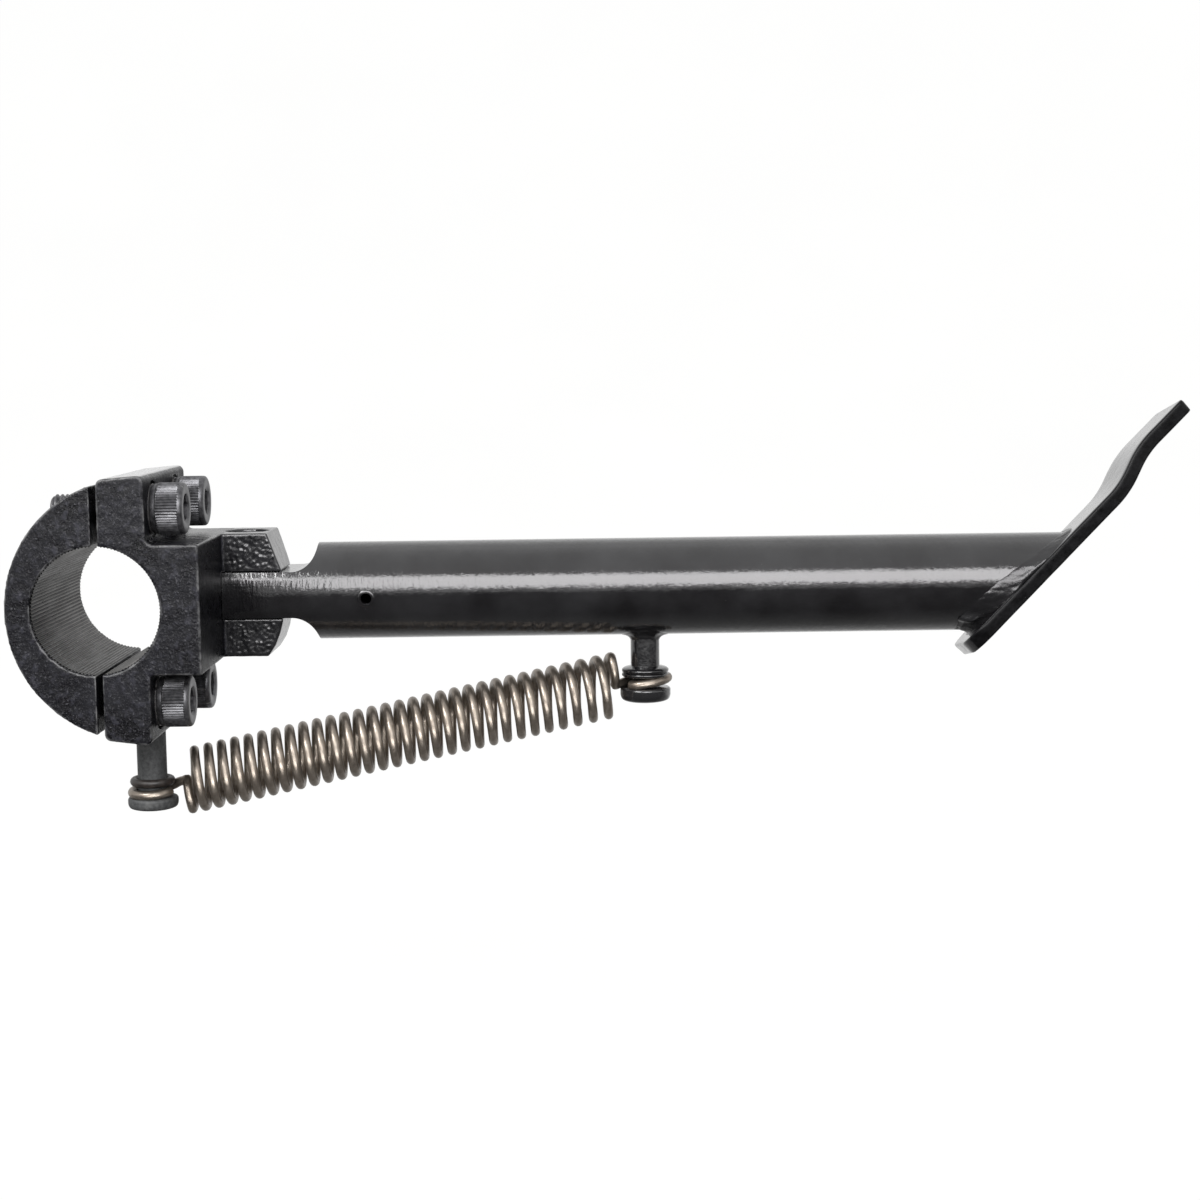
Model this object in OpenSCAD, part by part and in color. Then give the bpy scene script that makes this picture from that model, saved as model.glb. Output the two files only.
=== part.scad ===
// Clamp-on motorcycle kickstand: split frame clamp, clevis pivot, round leg,
// bent foot plate and an over-centre return spring.
// +X runs along the deployed leg, +Y along the clamp bore, +Z up (pivot axis).
// The origin is the middle of the clamp bore. Dimensions are millimetres.

/* [Clamp] */
// Diameter of the frame tube the clamp closes on
bore_d = 31.75; // [31:0.05:32]
// Width of the clamp along the frame tube
clamp_w = 52; // [50:0.5:54]
// Half height of the bolting flange
flange_h = 32.5; // [32:0.5:34]
// Thickness of the bolting flange
flange_t = 11.6; // [11:0.1:12]
// Gap left between the clamp halves when tightened
split_gap = 1.6; // [1:0.1:2.2]
// Outside radius of the clamp cap
cap_r = 32.4; // [32:0.1:33]

/* [Clamp screws] */
// Screw spacing along the frame tube
screw_dy = 28.5; // [28:0.5:29.5]
// Screw height above and below the bore centre
screw_z = 24.1; // [24:0.1:24.4]
// Screw thread diameter
screw_d = 8; // [7.8:0.1:8]
// Screw head diameter
head_d = 13; // [12.6:0.1:13]
// Screw head height
head_h = 8; // [7.5:0.1:8]
// Lock washer thickness
washer_t = 1.3; // [1.2:0.1:1.5]

/* [Pivot] */
// Distance of the pivot axis from the bore centre
pivot_x = 31; // [31:0.1:31.5]
// Offset of the pivot axis along the frame tube
pivot_y = 16; // [16:0.1:16.2]
// Width of the clevis slot
slot_w = 12.1; // [12:0.05:12.2]
// Pivot bolt shank diameter
pin_d = 8; // [7.9:0.02:8]

/* [Leg] */
// Leg outside diameter
leg_d = 25.4; // [25:0.1:25.4]
// Leg tube wall thickness
leg_wall = 3; // [2.5:0.1:3.5]
// Distance from the pivot to the spring post on the leg
post_x = 103.8; // [102:0.2:105]
// Thickness of the foot plate
plate_t = 3.85; // [3.8:0.1:4.2]
// Width of the foot plate
plate_w = 25.4; // [24:0.2:25.4]
// Twist of the foot plate about the leg
foot_twist = 10; // [8:0.5:12]

/* [Spring] */
// Spring wire diameter
wire_d = 2.4; // [2.2:0.1:2.4]
// Mean radius of the spring coil
coil_r = 7.45; // [7.2:0.05:7.6]
// Number of coil crests
crests = 31; // [29:1:31]

/* [Hidden] */
$fn = 96;
face_x = 1.3;                       // split face of the body half
flange_x = face_x + flange_t;       // screw seat side of the flange
boss_x = 25.7;                      // end face of the boss
boss_z = 16;
jaw_x = 41;
jaw_y = 6;
spot = 1.2;                         // depth of the washer seats
seat_x = flange_x - spot + washer_t;
tongue_h = slot_w / 2 - 0.1;
post_a = [7.1, 0];
post_b = [pivot_x + post_x, pivot_y];
shaft_a = 3.75;
shaft_b = 3.8;
loop_za = -49.7;
loop_zb = -25.4;
tube_x = 25;                        // where the tube starts, from the pivot

module y_cyl(r, y0, y1) translate([0, y1, 0]) rotate([90, 0, 0]) cylinder(r = r, h = y1 - y0);
module x_cyl(r, x0, x1) translate([x0, 0, 0]) rotate([0, 90, 0]) cylinder(r = r, h = x1 - x0);
// drawing in X and Z carried along Y
module along_y(y0, y1) translate([0, y1, 0]) rotate([90, 0, 0]) linear_extrude(y1 - y0) children();
module at_screws() for (y = [-1, 1], z = [-1, 1]) translate([0, y * screw_dy / 2, z * screw_z]) children();
module at_pivot() translate([pivot_x, pivot_y, 0]) children();
module round_rect(x0, z0, x1, z1, r) {
    translate([x0 + r, z0]) square([x1 - x0 - 2 * r, z1 - z0]);
    translate([x0, z0 + r]) square([x1 - x0, z1 - z0 - 2 * r]);
    for (x = [x0 + r, x1 - r], z = [z0 + r, z1 - r]) translate([x, z]) circle(r);
}

// ---- body half with flange, boss and clevis jaws
function arc_points(c, r, a0, a1) = [for (i = [0:6]) c + r * [cos(a0 + (a1 - a0) * i / 6), sin(a0 + (a1 - a0) * i / 6)]];
// flange with casting draft, taller towards the screw seats
module flange_profile() {
    r = 1.6;
    bl = [face_x + r, -flange_h + 0.3 + r];
    br = [flange_x - r, -flange_h - 0.8 + r];
    tr = [flange_x - r, flange_h + 0.4 - r];
    tl = [face_x + r, flange_h - 0.3 - r];
    at = atan2(tr[1] - tl[1], tr[0] - tl[0]);
    ab = atan2(br[1] - bl[1], br[0] - bl[0]);
    polygon(concat(arc_points(br, r, ab - 90, 0), arc_points(tr, r, 0, at + 90), arc_points(tl, r, at + 90, 180), arc_points(bl, r, 180, ab + 270)));
}
module body_profile() {
    flange_profile();
    translate([face_x, -flange_h + 4]) square([flange_t, 2 * flange_h - 8]);
    translate([face_x + 2, -boss_z]) square([boss_x - face_x - 2, 2 * boss_z]);
    difference() {
        translate([flange_x - 1, boss_z - 1]) square([3.2, 3.2]);
        translate([flange_x + 2.2, boss_z + 2.2]) circle(2.2);
    }
}
module jaw_profile() polygon([[boss_x - 2, boss_z], [37.4, boss_z], [jaw_x, 6], [jaw_x, -7],
    [40.2, -10], [38.9, -13.2], [37, -boss_z], [boss_x - 2, -boss_z]]);
module jaw_plan() {
    r = 4;
    translate([boss_x - 2, jaw_y]) square([jaw_x - boss_x + 2 - r, clamp_w / 2 - jaw_y]);
    translate([boss_x - 2, jaw_y]) square([jaw_x - boss_x + 2, clamp_w / 2 - jaw_y - r]);
    translate([jaw_x - r, clamp_w / 2 - r]) circle(r);
}
module clamp_body() color([0.10, 0.10, 0.11]) difference() {
    union() {
        along_y(-clamp_w / 2, clamp_w / 2) body_profile();
        intersection() {
            along_y(jaw_y, clamp_w / 2) jaw_profile();
            translate([0, 0, -boss_z]) linear_extrude(2 * boss_z) jaw_plan();
        }
    }
    y_cyl(bore_d / 2, -clamp_w, clamp_w);
    // slot for the leg tongue, open to the right and to the rear
    translate([0, 0, -slot_w / 2]) linear_extrude(slot_w) {
        translate([pivot_x, pivot_y]) circle(12.9);
        translate([pivot_x - 12.9, pivot_y]) square([30, 30]);
        translate([boss_x, jaw_y - 4]) square([30, 40]);
    }
    // screw clearance holes and washer seats
    at_screws() {
        x_cyl(screw_d / 2 + 0.35, face_x - 1, flange_x + 1);
        x_cyl(7, flange_x - spot, flange_x + 12);
    }
    // counterbore, shank hole and threaded end of the pivot bolt
    at_pivot() {
        translate([0, 0, 11.8]) cylinder(r = 5.6, h = 10);
        cylinder(r = pin_d / 2 + 0.04, h = 20);
        translate([0, 0, -20]) cylinder(r = 4, h = 20);
    }
    // seat of the spring post
    translate([post_a[0], post_a[1], -flange_h - 1]) cylinder(r = 3.02, h = 11.2);
    translate([post_a[0], post_a[1], -flange_h - 4]) cylinder(r = shaft_a + 0.05, h = 4);
}

// ---- cap half
module clamp_cap() color([0.10, 0.10, 0.11]) difference() {
    along_y(-clamp_w / 2, clamp_w / 2) intersection() {
        translate([10.25, 0]) circle(cap_r);
        translate([-60, -60]) square([60 + face_x - split_gap, 120]);
    }
    y_cyl(bore_d / 2, -clamp_w, clamp_w);
    at_screws() x_cyl(screw_d / 2, -40, 10);
}

// ---- socket head cap screws
module hex(af, h) rotate([0, 0, 30]) cylinder(r = af / sqrt(3), h = h, $fn = 6);
module clamp_screws() color([0.14, 0.14, 0.15]) at_screws() translate([seat_x, 0, 0]) rotate([0, 90, 0]) difference() {
    union() {
        rotate_extrude() polygon([[0, 0], [head_d / 2 - 0.6, 0], [head_d / 2 - 0.25, 0.35],
            [head_d / 2 - 0.25, 1.2], [head_d / 2, 1.35], [head_d / 2, head_h - 0.8],
            [head_d / 2 - 0.8, head_h], [0, head_h]]);
        translate([0, 0, -24]) cylinder(r = screw_d / 2 - 0.03, h = 24.5);
        translate([0, 0, -25]) cylinder(r1 = screw_d / 2 - 0.9, r2 = screw_d / 2 - 0.03, h = 1);
    }
    translate([0, 0, head_h - 4]) hex(6, 5);
    translate([0, 0, head_h - 5]) cylinder(r1 = 0.4, r2 = 3, h = 1.01);
}
module lock_washers() color([0.16, 0.16, 0.17]) at_screws() x_ring();
module x_ring() translate([flange_x - spot, 0, 0]) rotate([0, 90, 0]) difference() {
    cylinder(r = 6.2, h = washer_t);
    translate([0, 0, -1]) cylinder(r = 4.15, h = 5);
    translate([4, 0.1, -1]) rotate([-20, 0, 0]) cube([4, 0.5, 5]);
}

// ---- spring post in the clamp flange
module clamp_spring_post() color([0.30, 0.31, 0.31]) translate([post_a[0], post_a[1], 0]) rotate_extrude()
    polygon([[0, -22.6], [2.6, -22.6], [3, -23.2], [3, -flange_h], [shaft_a, -flange_h],
        [shaft_a, -51.2], [6.1, -51.2], [6.45, -51.5], [6.45, -53.4], [6.1, -54.3], [5.2, -54.8], [0, -54.8]]);
module clamp_post_ring() color([0.09, 0.08, 0.08]) translate([post_a[0], post_a[1], -47.1]) rotate_extrude()
    difference() {
        union() {
            translate([shaft_a + 0.02, -1.1]) square([0.88, 2.2]);
            translate([4.63, 0]) circle(1.1);
        }
        translate([0, -2]) square([shaft_a + 0.02, 4]);
    }

// ---- pivot bolt and its bush
module pivot_bolt() color([0.13, 0.13, 0.14]) at_pivot() difference() {
    rotate_extrude() polygon([[0, -15.4], [3.2, -15.4], [3.96, -14.6], [3.96, -slot_w / 2], [pin_d / 2, -slot_w / 2],
        [pin_d / 2, 11.8], [5.4, 11.8], [5.4, 14.9], [4.9, 15.4], [0, 15.4]]);
    translate([0, 0, 12.4]) hex(5, 5);
}
module pivot_bush() color([0.62, 0.44, 0.20]) at_pivot() difference() {
    translate([0, 0, -tongue_h]) cylinder(r = 5.5, h = 2 * tongue_h);
    cylinder(r = pin_d / 2 + 0.05, h = 40, center = true);
}

// ---- leg
module heel_plan() difference() {
    union() {
        circle(12.5);
        translate([0, -12.7]) square([40, 25.4]);
        polygon([[-5.2, 0], [-5.2, -12.1], [-0.4, -12.7], [2, -12.7], [2, 0]]);
    }
    translate([-20, -20]) square([20 - 5.2, 20 - 11.3]);
}
module leg_tongue() color([0.07, 0.07, 0.08]) at_pivot() difference() {
    union() {
        intersection() {
            x_cyl(leg_d / 2, -13, tube_x);
            translate([0, 0, -20]) linear_extrude(40) heel_plan();
        }
        x_cyl(leg_d / 2 - leg_wall - 0.01, tube_x - 2, 29.6);
    }
    for (s = [-1, 1]) {
        translate([-20, -20, s > 0 ? tongue_h : -tongue_h - 20]) cube([32.5, 40, 20]);
        translate([12.5, 0, s * (tongue_h + 6.25)]) y_cyl(6.25, -20, 20);
    }
    cylinder(r = 5.5, h = 60, center = true);
    // chamfer for the ring weld
    weld_ring(leg_d / 2 + 1);
}
// V groove between the tongue and the tube
module weld_ring(r) translate([tube_x, 0, 0]) rotate([0, 90, 0]) rotate_extrude()
    polygon([[leg_d / 2 - 2.2, -0.2], [r, -0.2 - (r - leg_d / 2 + 2.2) * 0.7],
        [r, 0.2 + (r - leg_d / 2 + 2.2) * 0.7], [leg_d / 2 - 2.2, 0.2]]);
module leg_butt_weld() color([0.08, 0.08, 0.09]) at_pivot() weld_ring(leg_d / 2);

// the foot plate lies in a frame twisted about the leg
foot_a = 45;
b1 = [188.7, -19.2];                // lower end of the plate, from the pivot
foot_s = b1[0] - b1[1] - plate_t * sqrt(2); // where its upper face crosses the leg axis
module foot_frame() rotate([-foot_twist, 0, 0]) children();
module leg_tube() color([0.07, 0.07, 0.08]) at_pivot() difference() {
    x_cyl(leg_d / 2, tube_x, foot_s + 20);
    x_cyl(leg_d / 2 - leg_wall, tube_x - 5, foot_s + 30);
    weld_ring(leg_d / 2 + 1);
    foot_frame() translate([foot_s, 0, 0]) rotate([0, -foot_a, 0]) translate([-60, -60, -80]) cube([120, 120, 80]);
    // vent hole
    translate([31.9, 0, -1]) y_cyl(1.4, -20, 0);
    // hole for the spring post
    translate([post_x, 0, -20]) cylinder(r = shaft_b, h = 20);
}
module leg_spring_post() color([0.07, 0.07, 0.08]) at_pivot() translate([post_x, 0, 0]) rotate_extrude()
    polygon([[0, -9], [shaft_b - 0.4, -9], [shaft_b, -9.4], [shaft_b, -21.6], [5.9, -21.6], [6.3, -22], [6.3, -23.6],
        [5.9, -24], [shaft_b, -24], [shaft_b, -26.7], [6.3, -26.7], [6.65, -27.1], [6.65, -29.6], [6.2, -30.6], [5.2, -31.1], [0, -31.1]]);
module leg_post_weld() color([0.08, 0.08, 0.09]) at_pivot() difference() {
    translate([post_x, 0, -15.3]) cylinder(r1 = shaft_b + 0.3, r2 = 6.7, h = 6.3);
    x_cyl(leg_d / 2, post_x - 20, post_x + 20);
    translate([post_x, 0, -20]) cylinder(r = shaft_b, h = 20);
}

// ---- foot plate: straight part, joggle and upper part, bent from flat bar
module plate_profile() {
    a1 = 45;
    a2 = 63.5;
    a3 = 44.6;
    n1 = [-sin(a1), cos(a1)];
    n2 = [-sin(a2), cos(a2)];
    n3 = [-sin(a3), cos(a3)];
    b2 = b1 + [cos(a1), sin(a1)] * 57.2;
    b3 = b2 + [cos(a2), sin(a2)] * 11.7;
    b4 = b3 + [cos(a3), sin(a3)] * 16.2;
    m12 = plate_t / cos((a2 - a1) / 2);
    m23 = plate_t / cos((a2 - a3) / 2);
    h12 = (a1 + a2) / 2;
    h23 = (a2 + a3) / 2;
    polygon([b1, b2, b3, b4, b4 + n3 * plate_t, b3 + [-sin(h23), cos(h23)] * m23,
        b2 + [-sin(h12), cos(h12)] * m12, b1 + n1 * plate_t]);
}
module foot_plate() color([0.07, 0.07, 0.08]) at_pivot() foot_frame() intersection() {
    translate([0, plate_w / 2, 0]) rotate([90, 0, 0]) linear_extrude(plate_w) plate_profile();
    translate([b1[0], 0, b1[1]]) rotate([0, -47.4, 0]) translate([-0.4, 0, -20]) linear_extrude(50) foot_outline();
}
// rounded outline seen square to the plate
module foot_outline() {
    r = 7;
    q = 1.5;
    w = plate_w / 2;
    l = 85.4;
    translate([r, -w]) square([l - r - q, 2 * w]);
    translate([0, -w + r]) square([r + 1, 2 * w - 2 * r]);
    translate([l - q - 1, -w + q]) square([q + 1, 2 * w - 2 * q]);
    for (y = [-1, 1]) {
        translate([r, y * (w - r)]) circle(r);
        translate([l - q, y * (w - q)]) circle(q);
    }
}
module foot_weld() color([0.08, 0.08, 0.09]) at_pivot() difference() {
    intersection() {
        x_cyl(leg_d / 2 + 1.9, foot_s - 30, foot_s + 20);
        foot_frame() translate([foot_s, 0, 0]) rotate([0, -foot_a, 0]) translate([-30, -12.2, 0]) cube([60, 24.4, 2]);
    }
    x_cyl(leg_d / 2, foot_s - 40, foot_s + 40);
}

// ---- return spring: coil, with an arm and an eye at each end
p0 = [15.6, 1.1, -47.6];
p1 = [127.2, 15.1, -25.9];
function vec(a, b) = b - a;
function len3(v) = sqrt(v[0] * v[0] + v[1] * v[1] + v[2] * v[2]);
ax = vec(p0, p1);
ax_len = len3(ax);
az = atan2(ax[1], ax[0]);
pol = acos(ax[2] / ax_len);
skew = 1.9;                         // lean of the coils along the spring
pitch = (ax_len - skew) / (crests - 0.5);
up = pitch / 2 + skew;
down = pitch / 2 - skew;
// centre line of the coil in its own frame, f in degrees
function coil_at(f) = [coil_r * cos(f), coil_r * sin(f), pitch * f / 360 + skew * (1 - cos(f)) / 2];
// point in the coil's frame carried to the part's frame
function carry(q) = let (x1 = q[0] * cos(pol) + q[2] * sin(pol), z1 = -q[0] * sin(pol) + q[2] * cos(pol))
    p0 + [x1 * cos(az) - q[1] * sin(az), x1 * sin(az) + q[1] * cos(az), z1];
// angle at which a straight wire from p runs onto the eye of radius r about c
function tangent(p, c, r, side) = let (dx = p[0] - c[0], dy = p[1] - c[1])
    atan2(dy, dx) + side * acos(r / sqrt(dx * dx + dy * dy));
function eye_at(c, r, a, z) = [c[0] + r * cos(a), c[1] + r * sin(a), z];
function unit(v) = v / len3(v);
eye_ra = shaft_a + 0.15 + wire_d / 2;
eye_rb = shaft_b + 0.15 + wire_d / 2;
per = 18;                           // sections in one turn of the coil
sides = 6;
f_end = (crests - 1) * 360 + 180;
arm_a = carry([2, 0, -0.8]);
arm_b = carry([-0.45, 0, ax_len + 0.8]);
ta = tangent(arm_a, post_a, eye_ra, 1);
tb = tangent(arm_b, post_b, eye_rb, -1);
path = concat(
    [for (a = [270:-18:0]) eye_at(post_a, eye_ra, ta + a, loop_za)],
    [arm_a],
    [for (q = [1:4]) let (f = -70 * (1 - q / 5), r = sin(18 * q)) carry([coil_r * r * cos(f), coil_r * r * sin(f), pitch * f / 360])],
    [for (i = [0:round(f_end * per / 360)]) carry(coil_at(i * 360 / per))],
    [for (q = [4:-1:1]) let (f = f_end + 70 * (1 - q / 5), r = sin(18 * q)) carry([coil_r * r * cos(f), coil_r * r * sin(f), ax_len + pitch * (f - f_end) / 360])],
    [arm_b],
    [for (a = [0:-18:-270]) eye_at(post_b, eye_rb, tb + a, loop_zb)]);
last = len(path) - 1;
way = [for (i = [0:last]) unit(path[min(i + 1, last)] - path[max(i - 1, 0)])];
side = [for (i = 0, u = unit(cross(way[0], [0, 0, 1])); i <= last;
    i = i + 1, u = i <= last ? unit(u - (u * way[i]) * way[i]) : u) u];
module return_spring() color([0.45, 0.40, 0.34]) {
    pts = [for (i = [0:last], j = [0:sides - 1]) let (u = side[i], v = cross(way[i], u))
        path[i] + 1.04 * wire_d / 2 * (u * cos(j * 360 / sides) + v * sin(j * 360 / sides))];
    faces = concat([[for (j = [0:sides - 1]) j]], [[for (j = [sides - 1:-1:0]) last * sides + j]],
        [for (i = [0:last - 1], j = [0:sides - 1]) let (k = (j + 1) % sides)
            [i * sides + j, (i + 1) * sides + j, (i + 1) * sides + k]],
        [for (i = [0:last - 1], j = [0:sides - 1]) let (k = (j + 1) % sides)
            [i * sides + j, (i + 1) * sides + k, i * sides + k]]);
    polyhedron(pts, faces);
}

clamp_body();
clamp_cap();
clamp_screws();
lock_washers();
clamp_spring_post();
clamp_post_ring();
pivot_bolt();
pivot_bush();
leg_tongue();
leg_tube();
leg_butt_weld();
leg_spring_post();
leg_post_weld();
foot_plate();
foot_weld();
return_spring();
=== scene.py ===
import math

import bmesh
import bpy
import numpy as np
from mathutils import Matrix, Vector, noise


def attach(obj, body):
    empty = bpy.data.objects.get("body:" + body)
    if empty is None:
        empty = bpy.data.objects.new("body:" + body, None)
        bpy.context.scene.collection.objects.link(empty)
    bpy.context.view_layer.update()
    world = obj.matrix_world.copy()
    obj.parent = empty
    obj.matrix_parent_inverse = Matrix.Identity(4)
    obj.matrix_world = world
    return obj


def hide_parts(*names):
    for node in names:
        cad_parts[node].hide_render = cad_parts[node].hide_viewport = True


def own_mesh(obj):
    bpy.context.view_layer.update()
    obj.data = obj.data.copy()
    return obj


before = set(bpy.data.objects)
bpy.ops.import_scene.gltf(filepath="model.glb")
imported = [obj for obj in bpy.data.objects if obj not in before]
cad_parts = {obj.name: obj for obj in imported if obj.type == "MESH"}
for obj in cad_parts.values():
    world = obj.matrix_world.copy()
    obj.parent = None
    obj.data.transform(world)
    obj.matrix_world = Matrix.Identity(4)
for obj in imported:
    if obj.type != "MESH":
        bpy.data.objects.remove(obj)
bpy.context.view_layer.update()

MM = 0.001
PIVOT = np.array([31.0, 16.0, 0.0])
POST_A = np.array([7.1, 0.0])
POST_B = np.array([134.8, 16.0])
TWIST = math.radians(-10)


# ------------------------------------------------------------------ materials
class Mat:
    """A small wrapper to wire node materials briefly."""

    def __init__(self, name):
        self.m = bpy.data.materials.new(name)
        self.m.use_nodes = True
        self.t = self.m.node_tree
        self.b = self.t.nodes["Principled BSDF"]
        self.co = self.t.nodes.new("ShaderNodeTexCoord").outputs["Object"]

    def node(self, kind, **inputs):
        n = self.t.nodes.new(kind)
        for k, v in inputs.items():
            key = k.replace("_", " ")
            s = n.inputs[int(k[1:])] if k[0] == "i" and k[1:].isdigit() else n.inputs[key]
            if hasattr(v, "links"):
                self.t.links.new(v, s)
            else:
                s.default_value = v
        return n

    def mapping(self, scale=(1, 1, 1), rot=(0, 0, 0)):
        n = self.node("ShaderNodeMapping", Vector=self.co)
        n.inputs["Scale"].default_value = scale
        n.inputs["Rotation"].default_value = rot
        return n.outputs[0]

    def noise(self, scale, detail=4.0, rough=0.55, vec=None, dist=0.0):
        n = self.node("ShaderNodeTexNoise", Vector=vec or self.co)
        n.inputs["Scale"].default_value = scale
        n.inputs["Detail"].default_value = detail
        n.inputs["Roughness"].default_value = rough
        n.inputs["Distortion"].default_value = dist
        return n.outputs[0]

    def voronoi(self, scale, vec=None, feature="F1"):
        n = self.node("ShaderNodeTexVoronoi", Vector=vec or self.co)
        n.feature = feature
        n.inputs["Scale"].default_value = scale
        return n.outputs[0]

    def ramp(self, fac, *stops):
        n = self.node("ShaderNodeValToRGB", Fac=fac)
        e = n.color_ramp.elements
        while len(e) < len(stops):
            e.new(0.5)
        for el, (p, c) in zip(e, stops):
            el.position = p
            el.color = (*c, 1) if isinstance(c, tuple) else (c, c, c, 1)
        return n.outputs[0]

    def math(self, op, a, b=0.5):
        n = self.node("ShaderNodeMath", i0=a, i1=b)
        n.operation = op
        return n.outputs[0]

    def mix(self, fac, a, b):
        n = self.t.nodes.new("ShaderNodeMix")
        n.data_type = "RGBA"
        for s, v in ((n.inputs[0], fac), (n.inputs[6], a), (n.inputs[7], b)):
            if hasattr(v, "links"):
                self.t.links.new(v, s)
            else:
                s.default_value = v if not isinstance(v, tuple) or len(v) == 4 else (*v, 1)
        return n.outputs[2]

    def bump(self, height, strength, distance, normal=None):
        n = self.node("ShaderNodeBump", Height=height, Strength=strength)
        n.inputs["Distance"].default_value = distance
        if normal is not None:
            self.t.links.new(normal, n.inputs["Normal"])
        return n.outputs[0]

    def edge(self, low=0.5, high=0.56):
        """1 on convex edges, from the surface's pointiness."""
        g = self.t.nodes.new("ShaderNodeNewGeometry")
        return self.ramp(g.outputs["Pointiness"], (low, 0.0), (high, 1.0))

    def set(self, **v):
        for k, x in v.items():
            s = self.b.inputs[k.replace("_", " ")]
            if hasattr(x, "links"):
                self.t.links.new(x, s)
            else:
                s.default_value = (*x, 1) if isinstance(x, tuple) and len(x) == 3 else x
        return self.m


def cast_black(name="cast_black"):
    m = Mat(name)
    big = m.noise(85, 4, 0.6)
    mid = m.noise(420, 5, 0.65)
    fine = m.noise(1700, 5, 0.7)
    flecks = m.ramp(m.voronoi(780), (0.0, 1.0), (0.06, 0.0))
    gate = m.ramp(m.noise(200, 2), (0.58, 0.0), (0.66, 1.0))
    flecks = m.math("MULTIPLY", flecks, gate)
    col = m.mix(m.ramp(big, (0.34, 0.0), (0.68, 1.0)), (0.0015, 0.0015, 0.0022), (0.0060, 0.0060, 0.0085))
    col = m.mix(m.ramp(mid, (0.52, 0.0), (0.66, 1.0)), col, (0.020, 0.020, 0.026))
    col = m.mix(m.ramp(fine, (0.56, 0.0), (0.70, 1.0)), col, (0.062, 0.062, 0.068))
    col = m.mix(flecks, col, (0.26, 0.26, 0.27))
    # lighter rounded edges, broken up by noise: partly paint worn thin on the edges, partly a painted highlight along
    # them
    edge_wear_and_highlight = m.math("MULTIPLY", m.edge(0.514, 0.550), m.ramp(m.noise(330, 3), (0.42, 0.0), (0.66, 1.0)))
    col = m.mix(m.math("MULTIPLY", edge_wear_and_highlight, 0.75), col, (0.20, 0.20, 0.20))
    chips = m.math("MULTIPLY", m.edge(0.54, 0.58), m.ramp(m.noise(150, 4, 0.7), (0.63, 0.0), (0.66, 1.0)))
    col = m.mix(chips, col, (0.50, 0.49, 0.46))
    rough = m.ramp(m.math("ADD", m.math("MULTIPLY", big, 0.6), m.math("MULTIPLY", mid, 0.4)), (0.3, 0.20), (0.7, 0.40))
    h = m.math("ADD", m.math("MULTIPLY", fine, 0.9), mid)
    # the paint pools smoothly on the faces that lay flat, and stays thin and dull on the ends; on the ends (faces
    # turned to +X) the colour is also darkened as painted shade
    way = m.node("ShaderNodeSeparateXYZ", Vector=m.t.nodes.new("ShaderNodeNewGeometry").outputs["Normal"])
    flat = m.ramp(m.math("ABSOLUTE", way.outputs[2]), (0.80, 0.0), (0.96, 1.0))
    high = m.math("ABSOLUTE", m.node("ShaderNodeSeparateXYZ", Vector=m.co).outputs[2])
    flat = m.math("MULTIPLY", flat, m.ramp(m.math("MULTIPLY", high, 20.0), (0.40, 0.12), (0.60, 1.0)))
    end = m.ramp(way.outputs[0], (0.80, 0.0), (0.96, 1.0))
    rough = m.mix(flat, rough, (0.10, 0.10, 0.10))
    coat = m.math("ADD", 0.12, m.math("MULTIPLY", flat, 0.88))
    spec = m.math("SUBTRACT", m.math("ADD", 0.28, m.math("MULTIPLY", flat, 0.17)), m.math("MULTIPLY", end, 0.24))
    coat = m.math("SUBTRACT", coat, m.math("MULTIPLY", end, 0.11))
    # painted shade: the colour goes near black on the faces turned to +X
    col = m.mix(m.math("MULTIPLY", end, 0.6), col, (0.003, 0.003, 0.0035))
    return m.set(Base_Color=col, Roughness=rough, Specular_IOR_Level=spec,
                 Normal=m.bump(h, m.math("SUBTRACT", 0.55, m.math("MULTIPLY", flat, 0.45)), 0.00022), Coat_Weight=coat, Coat_Roughness=0.12)


def gloss_black(name="gloss_black", orange=1.0, dull=0.0):
    m = Mat(name)
    stretch = m.mapping((0.35, 1, 1))
    peel = m.noise(330, 3, 0.5, vec=stretch)
    grain = m.noise(1150, 4, 0.65)
    brush = m.noise(900, 2, 0.5, vec=m.mapping((1, 0.3, 0.3)))
    dust = m.ramp(m.voronoi(620), (0.0, 1.0), (0.045, 0.0))
    gate = m.ramp(m.noise(110, 2), (0.56, 0.0), (0.66, 1.0))
    dust = m.math("MULTIPLY", dust, gate)
    col = m.mix(m.ramp(m.noise(70, 4), (0.35, 0.0), (0.7, 1.0)), (0.0055, 0.0052, 0.0058), (0.016, 0.016, 0.017))
    col = m.mix(dust, col, (0.30, 0.30, 0.30))
    rough = m.ramp(grain, (0.3, 0.09 + dull), (0.75, 0.19 + dull))
    h = m.math("ADD", m.math("MULTIPLY", peel, 0.6), m.math("MULTIPLY", grain, 0.5))
    h = m.math("ADD", h, m.math("MULTIPLY", brush, 1.1))
    n = m.bump(h, 0.24 * orange, 0.00035)
    return m.set(Base_Color=col, Roughness=rough, Specular_IOR_Level=0.5, Normal=n,
                 Coat_Weight=0.6 if not dull else 0.15, Coat_Roughness=0.06 + dull, Coat_Normal=n)


# painted shade: the plate's long sides get this darker, duller black than the faces' gloss black
def edge_black_shaded():
    m = Mat("edge_black_shaded")
    n1 = m.noise(500, 5, 0.65)
    specks = m.math("MULTIPLY", m.ramp(m.voronoi(900), (0.0, 1.0), (0.08, 0.0)), m.ramp(m.noise(260, 2), (0.5, 0.0), (0.62, 1.0)))
    col = m.mix(m.ramp(n1, (0.35, 0.0), (0.7, 1.0)), (0.002, 0.002, 0.0022), (0.008, 0.008, 0.0088))
    col = m.mix(specks, col, (0.10, 0.10, 0.105))
    return m.set(Base_Color=col, Roughness=m.ramp(n1, (0.3, 0.26), (0.7, 0.38)), Specular_IOR_Level=0.14,
                 Normal=m.bump(m.noise(1300, 4), 0.3, 0.0001))


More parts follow.
